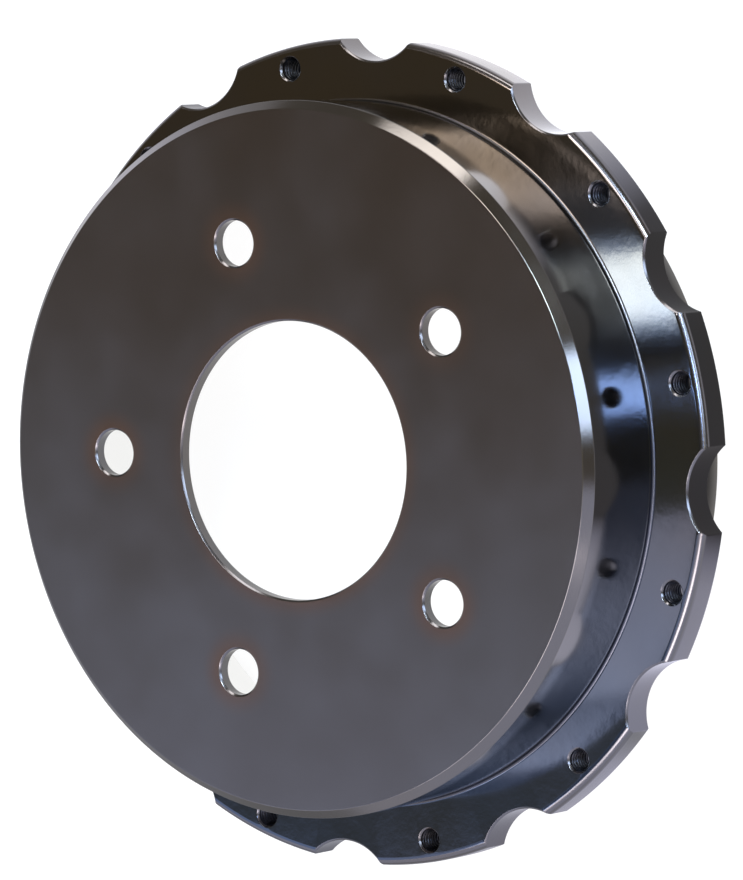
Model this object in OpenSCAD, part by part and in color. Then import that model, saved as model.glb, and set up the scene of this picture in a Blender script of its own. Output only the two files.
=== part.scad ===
// Hat of a two-piece brake rotor, with a drum inside it for a parking brake.
// It stands on its rear rim, with the mounting face up.
// The origin is the middle of the rear rim's plane, and +Z is the axis of rotation.
// +X runs through one stud hole and through one rotor bolt hole.

/* [Rotor bolts] */
// Number of rotor bolt holes
bolt_holes = 12; // [8:1:12]
// Diameter of the circle of rotor bolt holes
bolt_circle_d = 222.25; // [200:0.25:240]
// Thread diameter of a rotor bolt
bolt_d = 6.35; // [5:0.05:7]
// Chamfer at both mouths of a rotor bolt hole
bolt_chamfer = 0.5; // [0.2:0.05:0.8]

/* [Rotor register] */
// Distance from the middle of a rotor bolt hole in to the ring that centres the rotor
bolt_to_register = 9.5; // [7:0.125:12]
// Height of the ring above the front of the flange
register_h = 3.8; // [2:0.1:6]
// Chamfer of the ring's edge
register_chamfer = 0.45; // [0.2:0.05:0.45]

/* [Hat] */
// Step from the ring in to the outside of the hat
register_step = 1.125; // [0.5:0.125:2]
// Height from the rear rim to the mounting face
hat_h = 64; // [58:0.5:80]
// Chamfer around the mounting face
face_chamfer = 2.4; // [1:0.1:3]
// Chamfer of the rear rim, inside and outside
rim_chamfer = 1; // [0.4:0.1:1.4]

/* [Drum inside] */
// Thickness of the wall between the drum and the outside of the hat
wall_t = 5.25; // [4:0.25:8]
// Fillet between the drum and the mounting plate
inside_fillet = 4; // [2:0.1:5]
// Plain band between that fillet and the groove where the boring tool runs out
groove_land = 4; // [2:0.1:6]
// Width of the groove
groove_w = 3; // [2:0.1:4]
// Depth of the groove
groove_depth = 0.8; // [0.4:0.1:1]

/* [Mounting plate] */
// Thickness of the mounting plate
plate_t = 4; // [3:0.25:8]
// Diameter of the centre bore
bore_d = 78.2; // [60:0.1:88]
// Edge chamfer of the centre bore
bore_chamfer = 0.5; // [0.2:0.05:1]
// Number of stud holes
stud_holes = 5; // [4:1:6]
// Diameter of the circle of stud holes
stud_circle_d = 127; // [120:0.5:140]
// Diameter of a stud hole
stud_hole_d = 13; // [11:0.1:15]
// Edge chamfer of the stud holes
stud_chamfer = 0.55; // [0.2:0.05:1]

/* [Flange] */
// Distance from the middle of a rotor bolt hole out to the rim of the flange
bolt_to_rim = 6.375; // [5:0.125:10]
// Thickness of the flange
flange_t = 10.2; // [8:0.1:13]
// Distance from the mounting face back to the front of the flange
flange_offset = 31.75; // [20:0.25:38]
// Fillet between the ring and the front of the flange
front_fillet = 0.6; // [0.4:0.1:1.5]
// Fillet between the hat and the back of the flange
rear_fillet = 1.5; // [1:0.1:3]
// Rounding of the flange's front edge
front_round = 2.4; // [0.5:0.1:2.5]
// Rounding of the flange's rear edge
rear_round = 1.2; // [0.5:0.1:2.5]

/* [Scallops] */
// Diameter of the cutter that makes the scallops between the bolts
scallop_d = 31.75; // [24:0.25:34]
// Edge break where a scallop meets the flange's faces
scallop_break = 0.5; // [0.2:0.05:0.8]
// Edge break where a scallop meets the flange's rim
corner_break = 0.4; // [0.2:0.05:0.8]

/* [Hidden] */
// Fineness of the round surfaces
$fn = 144;
// How far a cutter runs past what it cuts
over = 1;

bolt_circle_r = bolt_circle_d / 2;
register_r = bolt_circle_r - bolt_to_register;
hat_r = register_r - register_step;
drum_r = hat_r - wall_t;
flange_r = bolt_circle_r + bolt_to_rim;
bore_r = bore_d / 2;
scallop_r = scallop_d / 2;

plate_z = hat_h - plate_t;
groove_top_z = plate_z - inside_fillet - groove_land;
groove_z = groove_top_z - groove_w;
groove_r = drum_r + groove_depth;
flange_front_z = hat_h - flange_offset;
flange_rear_z = flange_front_z - flange_t;
register_z = flange_front_z + register_h;

// The scallops reach in as far as the circle of the rotor bolts
scallop_centre_r = bolt_circle_r + scallop_r;
// Angle from a scallop's middle to the corner where it meets the rim
mouth_angle = acos((flange_r ^ 2 + scallop_centre_r ^ 2 - scallop_r ^ 2) / (2 * flange_r * scallop_centre_r));
mouth_x = flange_r * cos(mouth_angle);
mouth_y = flange_r * sin(mouth_angle);
// Angle of that corner as the scallop's centre sees it
mouth_wall_angle = atan2(mouth_y, scallop_centre_r - mouth_x);
// How far in from the corner the edge break lies
corner_depth = corner_break * sin((mouth_angle + mouth_wall_angle) / 2);

// Takes off a corner that is to be round about the origin
module rounding_section(r) {
    difference() {
        square(2 * r);
        circle(r);
    }
}

// Half of the hat's section, from the axis outwards, with its fillets still square
module block_section() {
    polygon([
        [bore_r + bore_chamfer, hat_h],
        [hat_r - face_chamfer, hat_h],
        [hat_r, hat_h - face_chamfer],
        [hat_r, register_z],
        [register_r - register_chamfer, register_z],
        [register_r, register_z - register_chamfer],
        [register_r, flange_front_z + front_fillet],
        [register_r + front_fillet, flange_front_z + front_fillet],
        [register_r + front_fillet, flange_front_z],
        [flange_r, flange_front_z],
        [flange_r, flange_rear_z],
        [hat_r + rear_fillet, flange_rear_z],
        [hat_r + rear_fillet, flange_rear_z - rear_fillet],
        [hat_r, flange_rear_z - rear_fillet],
        [hat_r, rim_chamfer],
        [hat_r - rim_chamfer, 0],
        [drum_r + rim_chamfer, 0],
        [drum_r, rim_chamfer],
        [drum_r, groove_z],
        [groove_r, groove_z],
        [groove_r, groove_top_z],
        [drum_r, groove_top_z],
        [drum_r, plate_z - inside_fillet],
        [drum_r - inside_fillet, plate_z - inside_fillet],
        [drum_r - inside_fillet, plate_z],
        [bore_r + bore_chamfer, plate_z],
        [bore_r, plate_z + bore_chamfer],
        [bore_r, hat_h - bore_chamfer]
    ]);
}

module hat_section() {
    difference() {
        block_section();
        translate([register_r + front_fillet, flange_front_z + front_fillet])
            circle(front_fillet);
        translate([hat_r + rear_fillet, flange_rear_z - rear_fillet])
            circle(rear_fillet);
        translate([drum_r - inside_fillet, plate_z - inside_fillet])
            circle(inside_fillet);
        translate([flange_r - front_round, flange_front_z - front_round])
            rounding_section(front_round);
        translate([flange_r - rear_round, flange_rear_z + rear_round])
            mirror([0, 1])
                rounding_section(rear_round);
    }
}

// Cutter for a round hole from z = top down to z = bottom, with a chamfer at each end
module hole_cutter(r, top, bottom, chamfer) {
    translate([0, 0, bottom - over])
        cylinder(h = top - bottom + 2 * over, r = r);
    translate([0, 0, top - chamfer])
        cylinder(h = chamfer + over, r1 = r, r2 = r + chamfer + over);
    translate([0, 0, bottom - over])
        cylinder(h = chamfer + over, r1 = r + chamfer + over, r2 = r);
}

// Edge breaks of the two corners of a scallop that faces +X
module corner_cutters() {
    w = 6 * corner_break;
    for (side = [0, 1])
        mirror([0, side, 0])
            translate([mouth_x, mouth_y, flange_rear_z - over])
                rotate([0, 0, (mouth_angle - mouth_wall_angle) / 2])
                    translate([-corner_depth, -w / 2, 0])
                        cube([w, w, flange_t + 2 * over]);
}

module rotor_hat() {
    color([0.24, 0.22, 0.21])
        difference() {
            rotate_extrude()
                hat_section();
            for (n = [0 : stud_holes - 1])
                rotate([0, 0, n * 360 / stud_holes])
                    translate([stud_circle_d / 2, 0, 0])
                        hole_cutter(stud_hole_d / 2, hat_h, plate_z, stud_chamfer);
            for (n = [0 : bolt_holes - 1])
                rotate([0, 0, n * 360 / bolt_holes])
                    translate([bolt_circle_r, 0, 0])
                        hole_cutter(bolt_d / 2, flange_front_z, flange_rear_z, bolt_chamfer);
            for (n = [0 : bolt_holes - 1])
                rotate([0, 0, (n + 0.5) * 360 / bolt_holes]) {
                    translate([scallop_centre_r, 0, 0])
                        hole_cutter(scallop_r, flange_front_z, flange_rear_z, scallop_break);
                    corner_cutters();
                }
        }
}

rotor_hat();
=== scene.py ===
# %% [markdown]
# # A brake rotor hat, dressed from its imported frame
#
# The object is the middle piece of a two-piece brake disc: a deep turned cup with a flat
# mounting face, a straight wall, and a scalloped flange that carries the rotor. It is one
# turned and drilled piece with a thin dark coat. This file builds it step by step.
# The imported frame comes first, because every place is given in its coordinates.

# %% Load the imported frame
import math

import bmesh
import bpy
from mathutils import Matrix, Vector


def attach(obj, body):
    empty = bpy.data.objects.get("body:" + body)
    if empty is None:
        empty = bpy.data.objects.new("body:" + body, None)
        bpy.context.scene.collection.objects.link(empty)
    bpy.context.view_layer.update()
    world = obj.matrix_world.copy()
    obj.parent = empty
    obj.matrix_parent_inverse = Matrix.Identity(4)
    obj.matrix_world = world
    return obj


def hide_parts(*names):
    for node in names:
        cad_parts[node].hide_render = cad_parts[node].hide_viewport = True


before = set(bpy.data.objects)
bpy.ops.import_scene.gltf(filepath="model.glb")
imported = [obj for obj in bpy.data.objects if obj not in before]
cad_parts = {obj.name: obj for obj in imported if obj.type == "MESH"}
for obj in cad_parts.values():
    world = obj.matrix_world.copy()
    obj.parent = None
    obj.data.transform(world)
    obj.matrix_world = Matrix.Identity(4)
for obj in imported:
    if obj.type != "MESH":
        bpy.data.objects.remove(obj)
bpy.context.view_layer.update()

# %% [markdown]
# ## Camera
#
# A camera was fitted to the photograph's edges and hole centres. It stands at an angle
# round the part and an angle above its face, looks at a point near the part's middle, and
# is rolled, because the part lies with its mounting face up while the photograph shows it
# standing. The picture's own three directions come out of those angles, and they are kept,
# because the lights are placed by them later on.

# %% Camera at the photograph's viewpoint
CAMERA_ROUND, CAMERA_ABOVE, CAMERA_ROLL = (math.radians(a) for a in (115.05, 53.44, -96.24))
CAMERA_DISTANCE = 1.68
AIM_POINT = Vector((-0.005, 0.0027, 0.032))
PICTURE_HEIGHT_PX = 880
FOCAL_LENGTH_PX = 5938.7
SENSOR_MM = 36.0

TO_CAMERA = Vector((
    math.cos(CAMERA_ROUND) * math.cos(CAMERA_ABOVE),
    math.sin(CAMERA_ROUND) * math.cos(CAMERA_ABOVE),
    math.sin(CAMERA_ABOVE)))
level_right = Vector((-math.sin(CAMERA_ROUND), math.cos(CAMERA_ROUND), 0))
PICTURE_RIGHT = Matrix.Rotation(CAMERA_ROLL, 3, TO_CAMERA) @ level_right
PICTURE_UP = TO_CAMERA.cross(PICTURE_RIGHT)

lens = bpy.data.cameras.new("camera")
lens.sensor_width = SENSOR_MM
lens.lens = FOCAL_LENGTH_PX / PICTURE_HEIGHT_PX * SENSOR_MM
lens.clip_start = 0.05
lens.clip_end = 30.0
camera = bpy.data.objects.new("camera", lens)
turn = Matrix((PICTURE_RIGHT, PICTURE_UP, TO_CAMERA)).transposed().to_4x4()
camera.matrix_world = Matrix.Translation(AIM_POINT + TO_CAMERA * CAMERA_DISTANCE) @ turn
bpy.context.scene.collection.objects.link(camera)
bpy.context.scene.camera = camera
print("Lens in mm:", round(lens.lens, 1))

# %% [markdown]
# ## Sizes
#
# These are the sizes of the turned blank and of what is drilled and milled into it, in
# millimetres, as in the solid. Only the flange's rim is a hair smaller, so that the mesh
# stays inside the solid's box. The second group departs from the solid: the wall narrows a
# little towards its foot and meets the flange in a plain fillet, where the solid has a low
# ring, and the flange's front is very slightly dished. Those tilts are under two degrees,
# but in a dark mirror they decide which part of the room is seen. The third group is the
# rounding of the edges. Everything in Blender is in metres, so each length passes through
# MM once.

# %% Sizes of the hat
MM = 0.001
HAT_R, HAT_H, FACE_CHAMFER, RIM_CHAMFER = 100.5, 64.0, 2.4, 1.0
DRUM_R, GROOVE_R, GROOVE_LOW, GROOVE_HIGH = 95.25, 96.05, 49.0, 52.0
PLATE_Z, BORE_R, BORE_CHAMFER = 60.0, 39.1, 0.5
INSIDE_FILLET, REAR_FILLET = 4.0, 1.5
FLANGE_R, FLANGE_FRONT, FLANGE_REAR = 117.47, 32.25, 22.05
FRONT_ROUND, REAR_ROUND = 2.4, 1.2
STUD_COUNT, STUD_CIRCLE_R, STUD_R, STUD_CHAMFER = 5, 63.5, 6.5, 0.55
BOLT_COUNT, BOLT_CIRCLE_R, BOLT_R, BOLT_CHAMFER = 12, 111.125, 3.175, 0.5
SCALLOP_R, SCALLOP_BREAK = 15.875, 0.5
SCALLOP_CENTRE_R = BOLT_CIRCLE_R + SCALLOP_R

HAT_FOOT_R, FOOT_FILLET, FLANGE_DISH = 99.75, 1.0, 0.12
WALL_BEND_Z, WALL_BEND_ROUND = 55.0, 130.0

HOLE_EDGE, GROOVE_EDGE, GROOVE_CORNER, RIM_EDGE, FACE_EDGE = 0.12, 0.15, 0.2, 0.3, 0.35
print("Widest radius in mm:", FLANGE_R, "height:", HAT_H)

# %% [markdown]
# ## The turned blank
#
# On the lathe the blank is one section turned about the axis, so the mesh is a closed
# section swept round in many steps. A helper rounds each corner of the section with an arc
# of its own radius: large ones are the fillets and the wall's soft bend, small ones are the
# edge breaks that every machined part has and that catch the light. A modelled edge does
# this better than a bevel here, because each corner needs its own radius.

# %% Round the corners of a section
def rounded_section(corners, steps=5):
    """Corners are (radius from axis, height, rounding). Returns the section's points."""
    points = []
    count = len(corners)
    for i, (x, z, rounding) in enumerate(corners):
        here = Vector((x, z))
        before = Vector(corners[i - 1][:2]) - here
        after = Vector(corners[(i + 1) % count][:2]) - here
        before.normalize()
        after.normalize()
        half = before.angle(after) / 2
        reach = rounding / math.tan(half)
        middle = here + (before + after).normalized() * (rounding / math.sin(half))
        start = here + before * reach - middle
        sweep = math.pi - 2 * half
        side = 1.0 if before.cross(after) < 0 else -1.0
        for k in range(steps + 1):
            angle = side * sweep * k / steps
            turned = Matrix.Rotation(angle, 2) @ start
            points.append(middle + turned)
    return points


blank_section = rounded_section([
    (BORE_R + BORE_CHAMFER, HAT_H, HOLE_EDGE),
    (HAT_R - FACE_CHAMFER, HAT_H, FACE_EDGE),
    (HAT_R, HAT_H - FACE_CHAMFER, FACE_EDGE),
    (HAT_R, WALL_BEND_Z, WALL_BEND_ROUND),
    (HAT_FOOT_R, FLANGE_FRONT - FLANGE_DISH, FOOT_FILLET),
    (FLANGE_R, FLANGE_FRONT + FLANGE_DISH, FRONT_ROUND),
    (FLANGE_R, FLANGE_REAR, REAR_ROUND),
    (HAT_R, FLANGE_REAR, REAR_FILLET),
    (HAT_R, RIM_CHAMFER, RIM_EDGE),
    (HAT_R - RIM_CHAMFER, 0.0, RIM_EDGE),
    (DRUM_R + RIM_CHAMFER, 0.0, RIM_EDGE),
    (DRUM_R, RIM_CHAMFER, RIM_EDGE),
    (DRUM_R, GROOVE_LOW, GROOVE_EDGE),
    (GROOVE_R, GROOVE_LOW, GROOVE_CORNER),
    (GROOVE_R, GROOVE_HIGH, GROOVE_CORNER),
    (DRUM_R, GROOVE_HIGH, GROOVE_EDGE),
    (DRUM_R, PLATE_Z, INSIDE_FILLET),
    (BORE_R + BORE_CHAMFER, PLATE_Z, HOLE_EDGE),
    (BORE_R, PLATE_Z + BORE_CHAMFER, HOLE_EDGE),
    (BORE_R, HAT_H - BORE_CHAMFER, HOLE_EDGE),
])
print("Points in the section:", len(blank_section))

# %% [markdown]
# The sweep itself needs no modifier. Each point of the section becomes a ring of vertices,
# and neighbouring rings are joined with four-sided faces. 480 steps keep the shading of the
# wall free of facets and leave a step on every drilled angle. A mesh that is written face by
# face can come out with its faces turned inwards, so one helper makes such meshes and turns
# their faces outwards.

# %% Make a mesh whose faces point outwards
def outward_mesh(name, verts, faces):
    mesh = bpy.data.meshes.new(name)
    mesh.from_pydata(verts, [], faces)
    work = bmesh.new()
    work.from_mesh(mesh)
    bmesh.ops.recalc_face_normals(work, faces=work.faces)
    work.to_mesh(mesh)
    work.free()
    return mesh


def placed(name, mesh):
    thing = bpy.data.objects.new(name, mesh)
    bpy.context.scene.collection.objects.link(thing)
    return thing


# %% Sweep a section round an axis
TURN_STEPS = 480


def swept_mesh(name, section, steps, closed=True):
    """Turns a section, in millimetres, round Z. An open section gets a flat cap at each end."""
    verts, faces = [], []
    rings = len(section)
    for x, z in section:
        for k in range(steps):
            a = 2 * math.pi * k / steps
            verts.append((x * MM * math.cos(a), x * MM * math.sin(a), z * MM))
    for i in range(rings if closed else rings - 1):
        j = (i + 1) % rings
        for k in range(steps):
            m = (k + 1) % steps
            faces.append((i * steps + k, i * steps + m, j * steps + m, j * steps + k))
    if not closed:
        faces.append(list(reversed(range(steps))))
        faces.append([(rings - 1) * steps + k for k in range(steps)])
    return outward_mesh(name, verts, faces)


hat = placed("hat", swept_mesh("hat", blank_section, TURN_STEPS))
print("Faces of the blank:", len(hat.data.polygons))

# %% [markdown]
# ## Cutters for the holes and scallops
#
# A drill with a countersink leaves a round wall and a small 45 degree chamfer at each
# mouth. The scallops are milled the same way with a large cutter. So one helper makes every
# round cutter: a tool whose ends flare out, with the flare's corners slightly rounded. It
# stands a few microns proud of the faces it breaks, so that no two faces coincide. The bolt
# tool is a hair wider than the thread, so that no face of the two coincides.

# %% One tool shape for every hole
TOOL_PROUD, TOOL_OVERRUN, THREAD_ROOM = 0.003, 1.5, 0.02


def cutter_section(radius, low, high, chamfer, edge=HOLE_EDGE, steps=4):
    """The tool's section from its lower end up. Only its two rounded corners are kept."""
    sharp = 0.001
    upper = rounded_section([
        (radius, (low + high) / 2, sharp),
        (radius, high - chamfer, edge),
        (radius + chamfer, high + TOOL_PROUD, edge),
        (radius + chamfer + 4, high + TOOL_PROUD, sharp),
    ], steps)[steps + 1:3 * (steps + 1)]
    top = [Vector((p.x, p.y)) for p in upper]
    top.append(Vector((upper[-1].x + 0.05, high + TOOL_OVERRUN)))
    bottom = [Vector((p.x, low + high - p.y)) for p in reversed(top)]
    return bottom + top


def round_tool(name, steps, *cut):
    return placed(name, swept_mesh(name, cutter_section(*cut), steps, closed=False))


stud_tool = round_tool("stud_tool", 96, STUD_R, PLATE_Z, HAT_H, STUD_CHAMFER)
bolt_tool = round_tool("bolt_tool", 64, BOLT_R + THREAD_ROOM, FLANGE_REAR, FLANGE_FRONT, BOLT_CHAMFER)
scallop_tool = round_tool("scallop_tool", 240, SCALLOP_R, FLANGE_REAR, FLANGE_FRONT, SCALLOP_BREAK)
print("Points in a tool's section:", len(cutter_section(STUD_R, PLATE_Z, HAT_H, STUD_CHAMFER)))

# %% [markdown]
# The two corners where a scallop runs out of the flange's rim are deburred. The tool for
# that is a small prism with one hollow side, an arc that touches the rim and the scallop's
# wall, so that the corner is left round.

# %% Tool for the scallops' corners
def corner_tool_mesh(name, rounding=0.6, steps=6):
    """Two prisms, one at each corner of a scallop that faces +X. Each leaves its corner round."""
    big, far, small = FLANGE_R - rounding, SCALLOP_CENTRE_R, SCALLOP_R + rounding
    angle = math.acos((big ** 2 + far ** 2 - small ** 2) / (2 * big * far))
    centre = Vector((big * math.cos(angle), big * math.sin(angle)))
    to_rim = centre.normalized()
    to_scallop = (Vector((far, 0.0)) - centre).normalized()
    start = math.atan2(to_rim.y, to_rim.x)
    sweep = to_rim.angle(to_scallop)
    outline = []
    for k in range(steps + 1):
        a = start - sweep * k / steps
        outline.append(centre + Vector((math.cos(a), math.sin(a))) * rounding)
    outline.append(outline[-1] + to_scallop * 2 * rounding)
    outline.append(outline[0] + to_rim * 2 * rounding)
    low, high = FLANGE_REAR - TOOL_OVERRUN, FLANGE_FRONT + TOOL_OVERRUN
    verts = [(p.x * MM, p.y * MM, z * MM) for z in (low, high) for p in outline]
    n = len(outline)
    faces = [tuple(range(n)), tuple(range(2 * n - 1, n - 1, -1))]
    faces += [(k, (k + 1) % n, n + (k + 1) % n, n + k) for k in range(n)]
    mirror = [(x, -y, z) for x, y, z in verts]
    both = faces + [tuple(v + 2 * n for v in f) for f in faces]
    return outward_mesh(name, verts + mirror, both)


corner_tool = placed("corner_tool", corner_tool_mesh("corner_tool"))
print("Faces of the corner tool:", len(corner_tool.data.polygons))

# %% [markdown]
# ## Geometry Nodes: one ring for everything that repeats
#
# Stud holes, bolt holes, scallops and threads all repeat evenly round the axis. One node
# tree sets a piece on a circle: Count points get their angle from their index, the piece is
# set on each and turned with it, and the result is made real. The same tree serves every
# ring, with its own count, radius and start angle.

# %% Build the ring tree
def ring_tree():
    tree = bpy.data.node_groups.new("ring_of_pieces", "GeometryNodeTree")
    face = tree.interface
    face.new_socket("Geometry", in_out="INPUT", socket_type="NodeSocketGeometry")
    face.new_socket("Piece", in_out="INPUT", socket_type="NodeSocketObject")
    face.new_socket("Count", in_out="INPUT", socket_type="NodeSocketInt")
    face.new_socket("Circle Radius", in_out="INPUT", socket_type="NodeSocketFloat")
    face.new_socket("Start Angle", in_out="INPUT", socket_type="NodeSocketFloat")
    face.new_socket("Material", in_out="INPUT", socket_type="NodeSocketMaterial")
    face.new_socket("Geometry", in_out="OUTPUT", socket_type="NodeSocketGeometry")
    nodes, links = tree.nodes, tree.links
    given = nodes.new("NodeGroupInput")
    points = nodes.new("GeometryNodePoints")
    index = nodes.new("GeometryNodeInputIndex")
    step = nodes.new("ShaderNodeMath")
    step.operation = "DIVIDE"
    step.inputs[0].default_value = 2 * math.pi
    angle = nodes.new("ShaderNodeMath")
    angle.operation = "MULTIPLY_ADD"
    turn = nodes.new("ShaderNodeCombineXYZ")
    reach = nodes.new("ShaderNodeCombineXYZ")
    spot = nodes.new("ShaderNodeVectorRotate")
    spot.rotation_type = "Z_AXIS"
    piece = nodes.new("GeometryNodeObjectInfo")
    setter = nodes.new("GeometryNodeInstanceOnPoints")
    real = nodes.new("GeometryNodeRealizeInstances")
    paint = nodes.new("GeometryNodeSetMaterial")
    result = nodes.new("NodeGroupOutput")
    links.new(given.outputs["Count"], points.inputs["Count"])
    links.new(given.outputs["Count"], step.inputs[1])
    links.new(index.outputs[0], angle.inputs[0])
    links.new(step.outputs[0], angle.inputs[1])
    links.new(given.outputs["Start Angle"], angle.inputs[2])
    links.new(angle.outputs[0], turn.inputs["Z"])
    links.new(given.outputs["Circle Radius"], reach.inputs["X"])
    links.new(reach.outputs[0], spot.inputs["Vector"])
    links.new(angle.outputs[0], spot.inputs["Angle"])
    links.new(spot.outputs[0], points.inputs["Position"])
    links.new(given.outputs["Piece"], piece.inputs["Object"])
    links.new(points.outputs[0], setter.inputs["Points"])
    links.new(piece.outputs["Geometry"], setter.inputs["Instance"])
    links.new(turn.outputs[0], setter.inputs["Rotation"])
    links.new(setter.outputs[0], real.inputs[0])
    links.new(real.outputs[0], paint.inputs["Geometry"])
    links.new(given.outputs["Material"], paint.inputs["Material"])
    links.new(paint.outputs[0], result.inputs[0])
    return tree


RING = ring_tree()
print("Inputs of the ring tree:", [s.name for s in RING.interface.items_tree if s.in_out == "INPUT"])


# %% Use the ring tree on a piece
def ring_mesh(name, piece, count, radius_mm, start_degrees, material=None):
    """Sets copies of a piece on a circle with the ring tree and returns a plain mesh."""
    carrier = placed(name + "_carrier", bpy.data.meshes.new(name + "_carrier"))
    ring = carrier.modifiers.new("ring", "NODES")
    ring.node_group = RING
    given = {"Piece": piece, "Count": count, "Circle Radius": radius_mm * MM,
             "Start Angle": math.radians(start_degrees), "Material": material}
    for socket in RING.interface.items_tree:
        if socket.in_out == "INPUT" and socket.name in given:
            ring[socket.identifier] = given[socket.name]
    scene_now = bpy.context.evaluated_depsgraph_get()
    mesh = bpy.data.meshes.new_from_object(carrier.evaluated_get(scene_now))
    mesh.name = name
    bpy.data.objects.remove(carrier)
    return mesh


# %% [markdown]
# ## Cut the blank
#
# The rings of tools are cut out of the blank with a Boolean modifier, one ring after the
# other, and the result is kept as a plain mesh. Afterwards the tools are thrown away.

# %% Cut every ring
def cut_ring(body, tool, count, radius_mm, start_degrees):
    name = tool.name + "_ring"
    rings = placed(name, ring_mesh(name, tool, count, radius_mm, start_degrees))
    cut = body.modifiers.new("cut", "BOOLEAN")
    cut.operation = "DIFFERENCE"
    cut.solver = "MANIFOLD"
    cut.object = rings
    scene_now = bpy.context.evaluated_depsgraph_get()
    mesh = bpy.data.meshes.new_from_object(body.evaluated_get(scene_now))
    body.modifiers.remove(cut)
    body.data = mesh
    bpy.data.objects.remove(rings)
    print(tool.name, "cut, faces now", len(mesh.polygons))


half_pitch = 180.0 / BOLT_COUNT
cut_ring(hat, stud_tool, STUD_COUNT, STUD_CIRCLE_R, 0.0)
cut_ring(hat, bolt_tool, BOLT_COUNT, BOLT_CIRCLE_R, 0.0)
cut_ring(hat, scallop_tool, BOLT_COUNT, SCALLOP_CENTRE_R, half_pitch)
cut_ring(hat, corner_tool, BOLT_COUNT, 0.0, half_pitch)
for tool in (stud_tool, bolt_tool, scallop_tool, corner_tool):
    bpy.data.objects.remove(tool)

# %% [markdown]
# Shading comes next. Faces that meet at more than 30 degrees keep a crisp edge, and the
# Weighted Normal modifier lets the large flat faces keep their flat look beside the narrow
# edge breaks.

# %% Shade the cut piece
def shade(body, degrees=30.0):
    work = bmesh.new()
    work.from_mesh(body.data)
    bmesh.ops.remove_doubles(work, verts=work.verts, dist=1e-7)
    bmesh.ops.dissolve_degenerate(work, dist=1e-7, edges=work.edges)
    work.to_mesh(body.data)
    work.free()
    body.data.polygons.foreach_set("use_smooth", [True] * len(body.data.polygons))
    body.data.set_sharp_from_angle(angle=math.radians(degrees))
    weigh = body.modifiers.new("weigh", "WEIGHTED_NORMAL")
    weigh.keep_sharp = True
    weigh.weight = 100
    scene_now = bpy.context.evaluated_depsgraph_get()
    mesh = bpy.data.meshes.new_from_object(body.evaluated_get(scene_now))
    body.modifiers.remove(weigh)
    body.data = mesh
    body.data.name = body.name


shade(hat)
print("Hat: faces", len(hat.data.polygons), "vertices", len(hat.data.vertices))

# %% [markdown]
# ## Threads in the rotor bolt holes
#
# The twelve holes of the flange are tapped. The ridges are under half a millimetre high, so
# the solid leaves them out and they are made here: a thin liner whose inner side rises and
# falls along a helix. The ridges fade out at both mouths, as a tapped and countersunk
# hole's do. One liner is made, and the ring tree sets all twelve.

# %% One thread liner
THREAD_PITCH, THREAD_DEPTH, THREAD_FADE = 1.27, 0.45, 0.9
LINER_CLEAR, LINER_SINK = 0.08, 0.15


def thread_mesh(name, around=40, per_turn=8):
    """A closed ring: its inner side carries the helix, its outer side sits in the metal."""
    low = FLANGE_REAR + BOLT_CHAMFER + LINER_CLEAR
    high = FLANGE_FRONT - BOLT_CHAMFER - LINER_CLEAR
    rows = int((high - low) / THREAD_PITCH * per_turn)
    verts, faces = [], []
    for i in range(rows + 1):
        z = low + (high - low) * i / rows
        fade = min(1.0, min(z - low, high - z) / THREAD_FADE)
        for k in range(around):
            a = 2 * math.pi * k / around
            phase = (z / THREAD_PITCH - k / around) % 1.0
            ridge = min(1.0, max(0.0, 1.35 * (1 - abs(2 * phase - 1)) - 0.1))
            r = BOLT_R - THREAD_DEPTH * ridge * fade
            verts.append((r * MM * math.cos(a), r * MM * math.sin(a), z * MM))
    for z in (high, low):
        for k in range(around):
            a = 2 * math.pi * k / around
            r = BOLT_R + LINER_SINK
            verts.append((r * MM * math.cos(a), r * MM * math.sin(a), z * MM))
    rings = rows + 3
    for i in range(rings):
        j = (i + 1) % rings
        for k in range(around):
            m = (k + 1) % around
            faces.append((i * around + k, i * around + m, j * around + m, j * around + k))
    mesh = outward_mesh(name, verts, faces)
    mesh.polygons.foreach_set("use_smooth", [True] * len(mesh.polygons))
    return mesh


liner = placed("liner", thread_mesh("liner"))
threads = placed("threads", ring_mesh("threads", liner, BOLT_COUNT, BOLT_CIRCLE_R, 0.0))
threads.data.set_sharp_from_angle(angle=math.radians(50))
bpy.data.objects.remove(liner)
print("Threads: faces", len(threads.data.polygons))

# %% [markdown]
# ## Small helpers for node trees
#
# The coats, the floor and the room are all worked out with Math and Vector Math nodes. A
# few helpers keep them readable: each adds one node, feeds it with numbers or with the
# outputs of other nodes, and gives back its own output.

# %% One node per helper
def feed(tree, socket, given):
    if isinstance(given, bpy.types.NodeSocket):
        tree.links.new(given, socket)
    else:
        socket.default_value = given


def number(tree, operation, *given):
    node = tree.nodes.new("ShaderNodeMath")
    node.operation = operation
    for socket, item in zip(node.inputs, given):
        feed(tree, socket, item)
    return node.outputs[0]


def arrow(tree, operation, *given):
    """A Vector Math node. A dot product and a length come out as numbers."""
    node = tree.nodes.new("ShaderNodeVectorMath")
    node.operation = operation
    for socket, item in zip(node.inputs, given):
        feed(tree, socket, item)
    return node.outputs["Value" if operation in ("DOT_PRODUCT", "LENGTH", "DISTANCE") else "Vector"]


def soft_step(tree, given, low, high):
    """Rises smoothly from 0 at low to 1 at high, or falls where low is the larger one."""
    node = tree.nodes.new("ShaderNodeMapRange")
    node.interpolation_type = "SMOOTHSTEP"
    feed(tree, node.inputs["Value"], given)
    node.inputs["From Min"].default_value = min(low, high)
    node.inputs["From Max"].default_value = max(low, high)
    node.inputs["To Min"].default_value = 0.0 if low < high else 1.0
    node.inputs["To Max"].default_value = 1.0 if low < high else 0.0
    return node.outputs["Result"]


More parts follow.
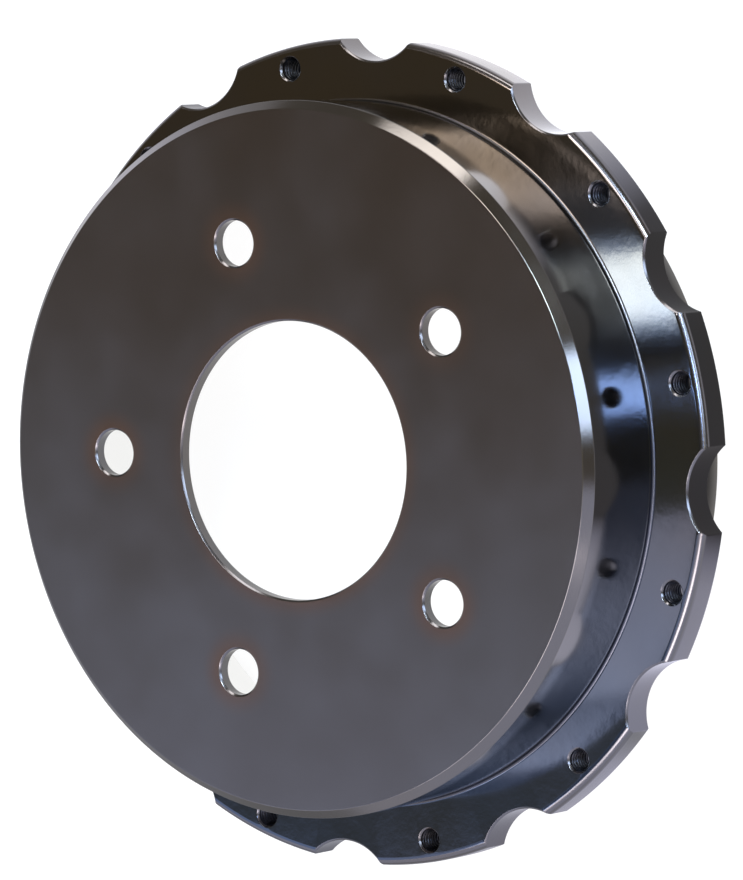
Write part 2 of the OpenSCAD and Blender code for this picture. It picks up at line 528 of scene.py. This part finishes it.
def blend(tree, factor, first, second):
    node = tree.nodes.new("ShaderNodeMix")
    node.data_type = "RGBA"
    feed(tree, node.inputs[0], factor)
    feed(tree, node.inputs[6], first)
    feed(tree, node.inputs[7], second)
    return node.outputs[2]


def noise(tree, where, scale, detail):
    node = tree.nodes.new("ShaderNodeTexNoise")
    node.inputs["Scale"].default_value = scale
    node.inputs["Detail"].default_value = detail
    feed(tree, node.inputs["Vector"], where)
    return node.outputs["Fac"]


def new_material(name):
    material = bpy.data.materials.new(name)
    material.use_nodes = True
    material.node_tree.nodes.clear()
    return material, material.node_tree


# %% [markdown]
# ## The dark coat on turned iron
#
# The coat is taken as a thin conversion layer on machined iron. It is dark, it still mirrors like a metal,
# and its tint varies at random between brown-black and blue-black. On the face and the flange a painted
# reflection is added: the coat goes from brown to blue towards the side that is low in the picture, and on
# the face it also gets lighter there. So it is a metal shader with a dark colour. Slow noise moves the
# colour, a second noise breaks up the gloss, and a very low bump gives the faint grain. The tool's marks
# run round the axis, which smears a reflection across them, so the wall, the flange and the drum are
# anisotropic round Z.
#
# Round the bore and the stud holes the coat is a little more bronze. Five stud holes need
# no five masks: the angle round the axis is folded back to one fifth of a turn, and the
# distance to one hole's middle then serves for all.

# %% Bronze rims round the holes
HALO_OUT_STUD, HALO_IN_STUD, HALO_OUT_BORE, HALO_IN_BORE = 7.0, 1.0, 6.0, 2.0


def hole_halo(tree, where):
    """1 at the rims of the bore and the stud holes, and fading to 0 a few millimetres off."""
    split = tree.nodes.new("ShaderNodeSeparateXYZ")
    tree.links.new(where, split.inputs[0])
    pitch = 2 * math.pi / STUD_COUNT
    angle = number(tree, "ARCTAN2", split.outputs["Y"], split.outputs["X"])
    turns = number(tree, "ROUND", number(tree, "DIVIDE", angle, pitch))
    folded = number(tree, "MULTIPLY_ADD", turns, -pitch, angle)
    flat = arrow(tree, "MULTIPLY", where, (1, 1, 0))
    out_from_axis = arrow(tree, "LENGTH", flat)
    spot = tree.nodes.new("ShaderNodeCombineXYZ")
    for axis, wave in enumerate(("COSINE", "SINE")):
        part = number(tree, "MULTIPLY", out_from_axis, number(tree, wave, folded))
        tree.links.new(part, spot.inputs[axis])
    to_stud = arrow(tree, "DISTANCE", spot.outputs[0], (STUD_CIRCLE_R * MM, 0, 0))
    round_stud = soft_step(tree, to_stud, (STUD_R + HALO_OUT_STUD) * MM, (STUD_R - HALO_IN_STUD) * MM)
    round_bore = soft_step(tree, out_from_axis, (BORE_R + HALO_OUT_BORE) * MM, (BORE_R - HALO_IN_BORE) * MM)
    return number(tree, "MAXIMUM", round_stud, round_bore)


# %% Coat material
PAINTED_REFLECTION_REACH = 0.11
CLOUD_SCALE, SMUDGE_SCALE, GRAIN_SCALE, MOTTLE_SCALE = 14.0, 60.0, 900.0, 330.0
SMUDGE_SPREAD = 0.10
QUARTER_TURN = 0.25


def coat_material(name, brown, blue, roughness, anisotropy, grain_height,
                  painted_reflection_way=None, halo=None, mottle=0.0, slanting=1.0):
    """A direction given for the painted reflection takes the coat from its brown to its blue tint along it:
    a painted reflection of the room, bluer on one side.

    Halo is the tint at the holes' rims, mottle the height of coarse unevenness in metres,
    and slanting the share of the gloss that is left where the coat is seen at a low slant.
    """
    material, tree = new_material(name)
    nodes, links = tree.nodes, tree.links
    out = nodes.new("ShaderNodeOutputMaterial")
    shader = nodes.new("ShaderNodeBsdfPrincipled")
    shader.inputs["Metallic"].default_value = 1.0
    shader.inputs["Anisotropic"].default_value = anisotropy
    shader.inputs["Anisotropic Rotation"].default_value = QUARTER_TURN
    shader.inputs["Specular Tint"].default_value = (slanting, slanting, slanting, 1)
    where = nodes.new("ShaderNodeTexCoord").outputs["Object"]
    clouds = soft_step(tree, noise(tree, where, CLOUD_SCALE, 5.0), 0.35, 0.65)
    if painted_reflection_way is None:
        tone_and_painted_reflection = clouds
    else:
        # Painted reflection: along this direction the coat goes from its brown to its blue tint, lighter
        # and bluer towards the side low in the picture, as the mirrored room would make it.
        painted_reflection = soft_step(tree, arrow(tree, "DOT_PRODUCT", where, painted_reflection_way), -PAINTED_REFLECTION_REACH, PAINTED_REFLECTION_REACH)
        tone_and_painted_reflection = number(tree, "MULTIPLY_ADD", clouds, 0.2, number(tree, "MULTIPLY", painted_reflection, 0.8))
    colour = blend(tree, tone_and_painted_reflection, (*brown, 1), (*blue, 1))
    if halo is not None:
        uneven = number(tree, "MULTIPLY_ADD", clouds, 0.5, 0.3)
        share = number(tree, "MULTIPLY", hole_halo(tree, where), uneven)
        colour = blend(tree, share, colour, (*halo, 1))
    links.new(colour, shader.inputs["Base Color"])
    smudges = noise(tree, where, SMUDGE_SCALE, 3.0)
    gloss = number(tree, "MULTIPLY_ADD", smudges, SMUDGE_SPREAD, roughness - SMUDGE_SPREAD / 2)
    links.new(gloss, shader.inputs["Roughness"])
    bump = nodes.new("ShaderNodeBump")
    bump.inputs["Distance"].default_value = grain_height
    links.new(noise(tree, where, GRAIN_SCALE, 2.0), bump.inputs["Height"])
    if mottle > 0:
        blotches = nodes.new("ShaderNodeBump")
        blotches.inputs["Distance"].default_value = mottle
        links.new(noise(tree, where, MOTTLE_SCALE, 4.0), blotches.inputs["Height"])
        links.new(blotches.outputs["Normal"], bump.inputs["Normal"])
    links.new(bump.outputs["Normal"], shader.inputs["Normal"])
    round_way = nodes.new("ShaderNodeTangent")
    round_way.direction_type = "RADIAL"
    round_way.axis = "Z"
    links.new(round_way.outputs["Tangent"], shader.inputs["Tangent"])
    links.new(shader.outputs[0], out.inputs["Surface"])
    return material


# %% [markdown]
# One coat looks different on each surface, because each was cut in its own way. The turned face is fine and
# satin, the wall and the flange are smoother, and what the mill cut and the narrow fillet at the wall's
# foot are rougher. The fillet in the corner at the wall's foot is also darker, as painted shade, and the
# threads down in the holes are darker still, as painted shade. The drum is hidden and is taken as bare
# iron, because brake shoes rub there. Its colour is brighter than bare iron, as painted light, so that it
# shows nearly white through the holes.
#
# The first colour of a coat is its brown tint and the second its blue one.

# %% The seven finishes
wall_coat = coat_material(
    "wall_coat", (0.150, 0.140, 0.130), (0.155, 0.150, 0.150),
    roughness=0.13, anisotropy=0.5, grain_height=0.000005)
# The face and the flange carry a painted reflection: bluer towards the side that is low in the picture, and
# on the face lighter too.
face_coat = coat_material(
    "face_coat", (0.132, 0.110, 0.096), (0.240, 0.255, 0.298),
    roughness=0.22, anisotropy=0.0, grain_height=0.000004,
    painted_reflection_way=(0.95, 0.20, 0.0), halo=(0.30, 0.185, 0.135), slanting=0.35)
flange_coat = coat_material(
    "flange_coat", (0.108, 0.090, 0.066), (0.085, 0.112, 0.162),
    roughness=0.10, anisotropy=0.3, grain_height=0.000006,
    painted_reflection_way=(0.9, 0.42, 0.0), mottle=0.00002, slanting=0.4)
milled_coat = coat_material(
    "milled_coat", (0.150, 0.140, 0.138), (0.150, 0.150, 0.160),
    roughness=0.20, anisotropy=0.0, grain_height=0.000006)
# Bare iron, brighter than iron as painted light, so that the drum shows nearly white through the holes.
bare_iron = coat_material(
    "bare_iron", (0.88, 0.88, 0.87), (0.93, 0.93, 0.92),
    roughness=0.25, anisotropy=0.4, grain_height=0.000003)
# Painted shade: the fillet in the corner at the wall's foot is darker than the wall and the flange.
fillet_coat = coat_material(
    "fillet_coat", (0.095, 0.086, 0.078), (0.080, 0.085, 0.105),
    roughness=0.30, anisotropy=0.0, grain_height=0.000006)
# Painted shade: the threads inside the holes are darker than the coat outside them.
thread_coat = coat_material(
    "thread_coat", (0.045, 0.043, 0.045), (0.060, 0.062, 0.075),
    roughness=0.30, anisotropy=0.0, grain_height=0.000003)
HAT_FINISHES = [wall_coat, face_coat, flange_coat, milled_coat, bare_iron, fillet_coat]
WALL, FACE, FLANGE, MILLED, DRUM, FILLET = range(len(HAT_FINISHES))
print("Finishes:", [finish.name for finish in HAT_FINISHES + [thread_coat]])

# %% [markdown]
# The blank was cut as one mesh, so nothing in it says which face belongs to which surface.
# The place and the slant of each face do: a face that looks up at the flange's height is the
# flange's front, a face near the drum's radius that looks sideways is the drum, and so on.

# %% Give each face its finish
def finish_of(centre, normal):
    """Index of the finish for a face of the hat, from where it lies and how it looks."""
    out = math.hypot(centre.x, centre.y) / MM
    height = centre.z / MM
    fillet_out = HAT_FOOT_R + FOOT_FILLET + 0.1
    if normal.z > 0.97 and HAT_FOOT_R < out and abs(height - FLANGE_FRONT) < 0.3:
        return FLANGE
    if normal.z > 0.04 and out < fillet_out and height < FLANGE_FRONT + FOOT_FILLET:
        return FILLET
    if out > HAT_R + 0.3:
        return MILLED
    if normal.z > 0.99 and height > HAT_H - 0.2:
        return FACE
    if abs(out - DRUM_R) < 0.2 and height < GROOVE_LOW and abs(normal.z) < 0.3:
        return DRUM
    if out < HAT_R - 6 and height > PLATE_Z:
        return MILLED
    return WALL


hat.data.materials.clear()
for finish in HAT_FINISHES:
    hat.data.materials.append(finish)
for polygon in hat.data.polygons:
    polygon.material_index = finish_of(polygon.center, polygon.normal)
threads.data.materials.clear()
threads.data.materials.append(thread_coat)
for polygon in threads.data.polygons:
    polygon.material_index = 0
for k, finish in enumerate(HAT_FINISHES):
    print(finish.name, "on faces:", sum(1 for p in hat.data.polygons if p.material_index == k))

# %% [markdown]
# ## Picture directions and kinds of rays
#
# The floor and the room need two more helpers. The first turns two angles, counted from the
# camera's side along the picture's width and height, into a direction for a light. The
# second asks Light Path what kind of ray is looking, because the camera sees plain white
# where the gloss sees a floor and a room.

# %% Helpers for the floor and the room
def direction(longitude, latitude):
    """A direction by picture angles: 0, 0 is towards the camera, left is negative."""
    lon, lat = math.radians(longitude), math.radians(latitude)
    flat = math.cos(lat)
    return (PICTURE_RIGHT * (flat * math.sin(lon)) + PICTURE_UP * math.sin(lat)
            + TO_CAMERA * (flat * math.cos(lon))).normalized()


def shown_to(tree, *kinds):
    """1 for rays of the named kinds, else 0."""
    path = tree.nodes.new("ShaderNodeLightPath")
    total = path.outputs[kinds[0]]
    for kind in kinds[1:]:
        total = number(tree, "MAXIMUM", total, path.outputs[kind])
    return total


# %% [markdown]
# ## Floor
#
# The ground is plain white, so the floor shows white to the camera, and keeps a little matt shading of its
# own there, so that the hat's shadow stays. The hat's low surfaces mirror the floor close by. A white floor
# would wash out the dark chamfers and scallops, so to the gloss the floor glows with painted light and
# painted shadow by the angle round the axis. One ring of it lies close to the hat and one lies further out,
# and they blend. The near ring is brightest, as painted light, on the side that is up in the picture and
# dimmest, as painted shadow, on the camera's side. Under the hat, where shade falls, the floor glows plain
# white to the gloss as painted light, for the drum to mirror.

# %% Painted light and shade of the floor
FLOOR_HALF = 6.0
RAMP_TOP = 4.0
UNDER_HAT, UNDER_HAT_EDGE = 0.100, 0.105
NEAR_RING_END, FAR_RING_START = 0.17, 0.24
# Painted light and painted shadow on the floor, seen only by the gloss: bright on the side up in the
# picture, dim on the camera's side.
FLOOR_NEAR_PAINTED_LIGHT_AND_SHADE = [
    (-180, (2.15, 2.12, 2.20)), (-150, (1.20, 1.20, 1.28)), (-110, (0.50, 0.50, 0.54)),
    (-75, (0.28, 0.28, 0.30)), (-42, (0.36, 0.36, 0.39)), (0, (0.52, 0.53, 0.60)),
    (30, (0.72, 0.72, 0.82)), (55, (1.05, 1.05, 1.28)), (62, (0.75, 0.75, 0.80)),
    (66, (1.28, 1.28, 1.55)), (88, (1.25, 1.25, 1.50)), (93, (0.80, 0.80, 1.00)),
    (97, (0.20, 0.19, 0.20)), (128, (0.20, 0.20, 0.20)), (149, (0.28, 0.28, 0.30)),
    (156, (0.85, 0.85, 0.98)), (164, (1.65, 1.62, 1.72)), (172, (2.15, 2.18, 2.35)),
    (180, (2.20, 2.18, 2.30)),
]
FLOOR_FAR_PAINTED_LIGHT_AND_SHADE = [
    (-180, (0.85, 0.85, 0.87)), (-128, (0.52, 0.51, 0.52)), (-118, (0.86, 0.85, 0.92)),
    (-106, (1.50, 1.48, 1.66)), (-94, (1.55, 1.53, 1.64)), (-84, (0.50, 0.50, 0.53)),
    (-60, (0.42, 0.42, 0.45)), (0, (0.50, 0.51, 0.56)), (60, (1.10, 1.10, 1.20)),
    (180, (1.00, 1.00, 1.05)),
]


def colours_round(tree, where, rows):
    """A colour by the angle round the axis. Rows are (degrees, colour), from -180 to 180.

    A colour ramp holds values up to 1, so the tones are stored as shares of RAMP_TOP.
    """
    split = tree.nodes.new("ShaderNodeSeparateXYZ")
    tree.links.new(where, split.inputs[0])
    angle = number(tree, "ARCTAN2", split.outputs["Y"], split.outputs["X"])
    ramp = tree.nodes.new("ShaderNodeValToRGB")
    stops = ramp.color_ramp.elements
    for k, (degrees, colour) in enumerate(rows):
        stop = stops[k] if k < 2 else stops.new(1.0)
        stop.position = degrees / 360 + 0.5
        stop.color = (*[value / RAMP_TOP for value in colour], 1)
    tree.links.new(number(tree, "MULTIPLY_ADD", angle, 0.5 / math.pi, 0.5), ramp.inputs["Fac"])
    return arrow(tree, "MULTIPLY", ramp.outputs["Color"], (RAMP_TOP, RAMP_TOP, RAMP_TOP))


# %% [markdown]
# The floor's material adds two shaders. The glow is white to the camera, and to the gloss it carries the
# floor's painted light and painted shadow; matt surfaces get no light from it. The matt shader carries the
# shadow. Only the camera sees it, because on a dark mirror even a faint grey floor would show as a film
# over every surface that faces down. Glow and matt shading add up to white.

# %% Floor material
FLOOR_GLOW, FLOOR_MATT = 0.94, 0.12


def floor_material():
    material, tree = new_material("floor_paint")
    where = tree.nodes.new("ShaderNodeTexCoord").outputs["Object"]
    out_from_axis = arrow(tree, "LENGTH", where)
    far = soft_step(tree, out_from_axis, NEAR_RING_END, FAR_RING_START)
    near_painted_light_and_shade = colours_round(tree, where, FLOOR_NEAR_PAINTED_LIGHT_AND_SHADE)
    far_painted_light_and_shade = colours_round(tree, where, FLOOR_FAR_PAINTED_LIGHT_AND_SHADE)
    painted_floor_light = blend(tree, far, near_painted_light_and_shade, far_painted_light_and_shade)
    # Painted light: under the hat, where shade falls, the floor glows white to the gloss.
    painted_light_under_hat = soft_step(tree, out_from_axis, UNDER_HAT_EDGE, UNDER_HAT)
    painted_floor_light = blend(tree, painted_light_under_hat, painted_floor_light, (1.0, 1.0, 1.0, 1))
    seen = blend(tree, shown_to(tree, "Is Camera Ray"), painted_floor_light, (FLOOR_GLOW, FLOOR_GLOW, FLOOR_GLOW, 1))
    glow = tree.nodes.new("ShaderNodeEmission")
    tree.links.new(seen, glow.inputs["Color"])
    glowing_for = shown_to(tree, "Is Camera Ray", "Is Glossy Ray", "Is Transmission Ray")
    tree.links.new(glowing_for, glow.inputs["Strength"])
    matt = tree.nodes.new("ShaderNodeBsdfDiffuse")
    catch = (FLOOR_MATT, FLOOR_MATT, FLOOR_MATT, 1)
    shadow_catch = blend(tree, shown_to(tree, "Is Camera Ray"), (0, 0, 0, 1), catch)
    tree.links.new(shadow_catch, matt.inputs["Color"])
    both = tree.nodes.new("ShaderNodeAddShader")
    tree.links.new(glow.outputs[0], both.inputs[0])
    tree.links.new(matt.outputs[0], both.inputs[1])
    out = tree.nodes.new("ShaderNodeOutputMaterial")
    tree.links.new(both.outputs[0], out.inputs["Surface"])
    return material


# %% Lay the floor
square = [(x * FLOOR_HALF, y * FLOOR_HALF, 0) for x, y in ((-1, -1), (1, -1), (1, 1), (-1, 1))]
floor_mesh = bpy.data.meshes.new("floor")
floor_mesh.from_pydata(square, [], [(0, 1, 2, 3)])
floor = placed("floor", floor_mesh)
floor.data.materials.append(floor_material())
print("Floor, metres across:", 2 * FLOOR_HALF)

# %% [markdown]
# ## Room
#
# A dark mirror shows little of itself and much of its room, so the room is built with care.
# The camera sees plain white. The gloss sees a dim room over a pale table that fills the
# lower part of the picture's directions, and in it a ceiling light, a lit wall to the left,
# and a window with a high and a low pane. The lights and shades are soft rectangles, each
# given by its middle in picture angles and its half sizes. A rectangle needs no lamp and no
# object: its share of light follows from the looking direction alone, so it is a small node
# group in the world.

# %% A soft rectangle of light, as a node group
SLIGHTLY_AHEAD = 0.02


def softbox_group():
    tree = bpy.data.node_groups.new("soft_rectangle", "ShaderNodeTree")
    face = tree.interface
    for name in ("Looking", "Middle", "Side", "Up"):
        face.new_socket(name, in_out="INPUT", socket_type="NodeSocketVector")
    for name in ("Half Width", "Half Height", "Edge"):
        face.new_socket(name, in_out="INPUT", socket_type="NodeSocketFloat")
    face.new_socket("Share", in_out="OUTPUT", socket_type="NodeSocketFloat")
    given = tree.nodes.new("NodeGroupInput").outputs
    ahead = arrow(tree, "DOT_PRODUCT", given["Looking"], given["Middle"])
    depth = number(tree, "MAXIMUM", ahead, SLIGHTLY_AHEAD)
    share = number(tree, "GREATER_THAN", ahead, SLIGHTLY_AHEAD)
    for axis, size in (("Side", "Half Width"), ("Up", "Half Height")):
        across = number(tree, "DIVIDE", arrow(tree, "DOT_PRODUCT", given["Looking"], given[axis]), depth)
        inside = number(tree, "SUBTRACT", given[size], number(tree, "ABSOLUTE", across))
        ramp = number(tree, "MULTIPLY_ADD", number(tree, "DIVIDE", inside, given["Edge"]), 0.5, 0.5)
        share = number(tree, "MULTIPLY", share, soft_step(tree, ramp, 0.0, 1.0))
    result = tree.nodes.new("NodeGroupOutput")
    tree.links.new(share, result.inputs["Share"])
    return tree


SOFTBOX = softbox_group()
print("Nodes in a soft rectangle:", len(SOFTBOX.nodes))


# %% Place a soft rectangle in the room
def softbox(tree, looking, longitude, latitude, half_width, half_height, edge, roll=0.0):
    """Share of light, 0 to 1, of a rectangle about a picture direction. All in degrees."""
    node = tree.nodes.new("ShaderNodeGroup")
    node.node_tree = SOFTBOX
    middle = direction(longitude, latitude)
    side = direction(longitude + 90, 0)
    side = Matrix.Rotation(math.radians(roll), 3, middle) @ side
    tree.links.new(looking, node.inputs["Looking"])
    node.inputs["Middle"].default_value = middle
    node.inputs["Side"].default_value = side
    node.inputs["Up"].default_value = middle.cross(side)
    node.inputs["Half Width"].default_value = math.tan(math.radians(half_width))
    node.inputs["Half Height"].default_value = math.tan(math.radians(half_height))
    node.inputs["Edge"].default_value = math.tan(math.radians(edge))
    return node.outputs["Share"]


# %% [markdown]
# The coat mirrors only a tenth to a quarter of the light, so a window that shows bright on
# it is many times brighter than white. Each row below holds a name, the middle's two picture
# angles, half the width, half the height, the softness of the edge and the roll, all in
# degrees, and then the colour. The lights are added up. The shades are laid over them.

# %% Lights and shades of the room
ROOM_LOW, ROOM_HIGH = (1.02, 1.04, 1.27, 1), (0.25, 0.22, 0.18, 1)
TABLE_EDGE_LOW, TABLE_EDGE_HIGH = -0.23, -0.15
SHADE_STRENGTH = 0.9
ROOM_LIGHTS = [
    ("ceiling light", -42, 66, 12, 6, 2, 0, (6.2, 6.0, 5.9)),
    ("lit wall", -46.5, 21.3, 12.5, 6.3, 2.2, 22, (13.5, 12.3, 11.9)),
    ("high pane", -8.1, 25.5, 7.2, 5.3, 1.5, -45, (52, 60, 61)),
    ("sky round the high pane", -8.3, 25.7, 10.2, 5, 2, -45, (8, 12, 20)),
    ("low pane, left", -8.3, 4.3, 4.3, 3.0, 1, 0, (19, 30, 56)),
    ("low pane, right", 17, 10.5, 5, 9, 2, 0, (5.5, 7, 9.5)),
    ("window frame", -14, 14, 12, 16, 3, -30, (0.2, 0.25, 0.35)),
    ("wall over the window", -24, 33, 10, 4, 2, 0, (0.9, 1.1, 1.5)),
    ("table by the window", -9, -35.5, 22, 9, 2.5, 38, (8.6, 7.7, 7.7)),
    ("table to the left", -54, -40.5, 13, 4.5, 2, -30, (5.0, 4.6, 4.8)),
]
ROOM_SHADES = [
    ("dark end of the table", -57, -22.7, 15, 7, 2, -38, (0.16, 0.19, 0.25)),
    ("shade by the camera", 3, -3, 6, 15, 2, 0, (1.60, 1.40, 0.85)),
]

print("Lights and shades:", len(ROOM_LIGHTS), "and", len(ROOM_SHADES))

# %% [markdown]
# The world's nodes start from the low and the high part of the room, add the lights one by
# one, and lay the shades over them. At the end Light Path puts plain white in front of all
# of that for the camera.

# %% Room
world = bpy.data.worlds.new("room")
bpy.context.scene.world = world
world.use_nodes = True
room_tree = world.node_tree
room_tree.nodes.clear()
looking = room_tree.nodes.new("ShaderNodeTexCoord").outputs["Generated"]
height = arrow(room_tree, "DOT_PRODUCT", looking, PICTURE_UP)
over_table = soft_step(room_tree, height, TABLE_EDGE_LOW, TABLE_EDGE_HIGH)
room_colour = blend(room_tree, over_table, ROOM_LOW, ROOM_HIGH)
for name, *place, colour in ROOM_LIGHTS:
    share = softbox(room_tree, looking, *place)
    room_colour = arrow(room_tree, "MULTIPLY_ADD", share, colour, room_colour)
for name, *place, colour in ROOM_SHADES:
    share = number(room_tree, "MULTIPLY", softbox(room_tree, looking, *place), SHADE_STRENGTH)
    room_colour = blend(room_tree, share, room_colour, (*colour, 1))
seen = blend(room_tree, shown_to(room_tree, "Is Camera Ray"), room_colour, (1, 1, 1, 1))
room_light = room_tree.nodes.new("ShaderNodeBackground")
room_tree.links.new(seen, room_light.inputs["Color"])
out = room_tree.nodes.new("ShaderNodeOutputWorld")
room_tree.links.new(room_light.outputs[0], out.inputs["Surface"])
print("Nodes in the room:", len(room_tree.nodes))

# %% [markdown]
# One soft lamp hangs over the hat and gives it its shadow on the floor. The gloss doesn't
# see the lamp, because the room's own lights are what it mirrors.

# %% Lamp
LAMP_DISTANCE, LAMP_WIDTH, LAMP_HEIGHT, LAMP_WATTS = 1.6, 1.1, 0.9, 20
LAMP_AIM = Vector((0, 0, 0.05))
LAMP_ACROSS, LAMP_UP = -36, 10

bulb = bpy.data.lights.new("ceiling_lamp", "AREA")
bulb.shape = "RECTANGLE"
bulb.size, bulb.size_y = LAMP_WIDTH, LAMP_HEIGHT
bulb.energy = LAMP_WATTS
lamp = bpy.data.objects.new("ceiling_lamp", bulb)
lamp.visible_glossy = False
away = direction(LAMP_ACROSS, LAMP_UP)
side = (PICTURE_RIGHT - away * PICTURE_RIGHT.dot(away)).normalized()
lamp_turn = Matrix((side, away.cross(side), away)).transposed().to_4x4()
lamp.matrix_world = Matrix.Translation(LAMP_AIM + away * LAMP_DISTANCE) @ lamp_turn
bpy.context.scene.collection.objects.link(lamp)
print("Lamp at", [round(v, 2) for v in lamp.matrix_world.translation])

# %% [markdown]
# ## Hand over
#
# The dressed hat and its threads ride on the frame's only body, and the hat takes the place of its one
# solid. The dressed hat may not be larger.

# %% Ride, replace and finish
for piece in (hat, threads):
    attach(piece, "root")
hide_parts("rotor_hat")
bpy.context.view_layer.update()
scene = bpy.context.scene
scene.view_settings.view_transform = "Standard"
